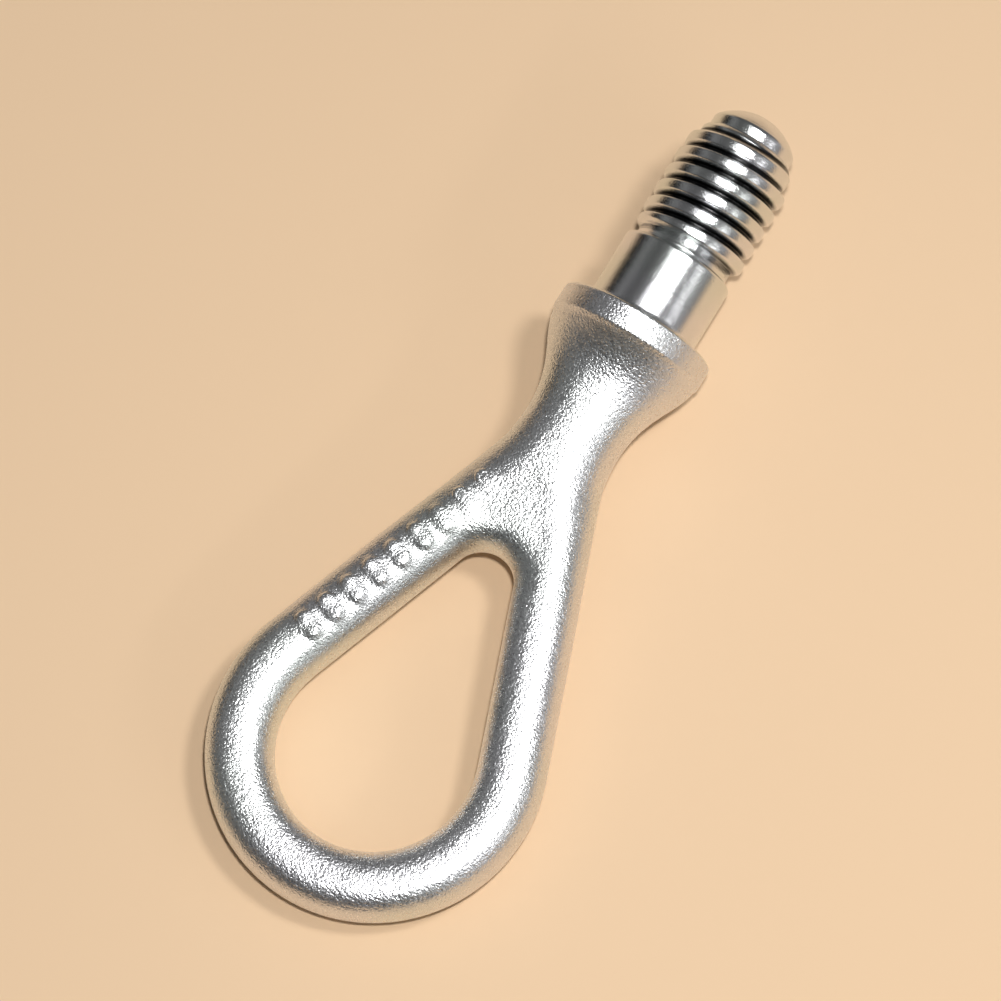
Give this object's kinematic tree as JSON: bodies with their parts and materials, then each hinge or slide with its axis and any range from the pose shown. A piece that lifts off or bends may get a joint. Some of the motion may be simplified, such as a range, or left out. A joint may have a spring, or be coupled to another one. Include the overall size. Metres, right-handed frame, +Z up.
{
  "type": "screw-in tow eye",
  "caption": "Screw-in vehicle tow eye: a teardrop loop of forged round bar, a waisted neck, a round collar, a plain shank and a coarse right-hand thread, bright zinc plated.",
  "frame": {"origin": "middle of the box round the part, on the ground it lies on", "axes": "+Y along the part from the loop to the thread, +Z up as it lies, +X across the loop"},
  "size_m": [0.0606, 0.1626, 0.0298],
  "materials": {
    "zinc_plated_steel": "bright zinc plating over a forged, blasted skin; satin grain, with glossy collar and shank"
  },
  "bodies": {
    "root": {"tow_eye": "zinc_plated_steel"}
  },
  "joints": []
}
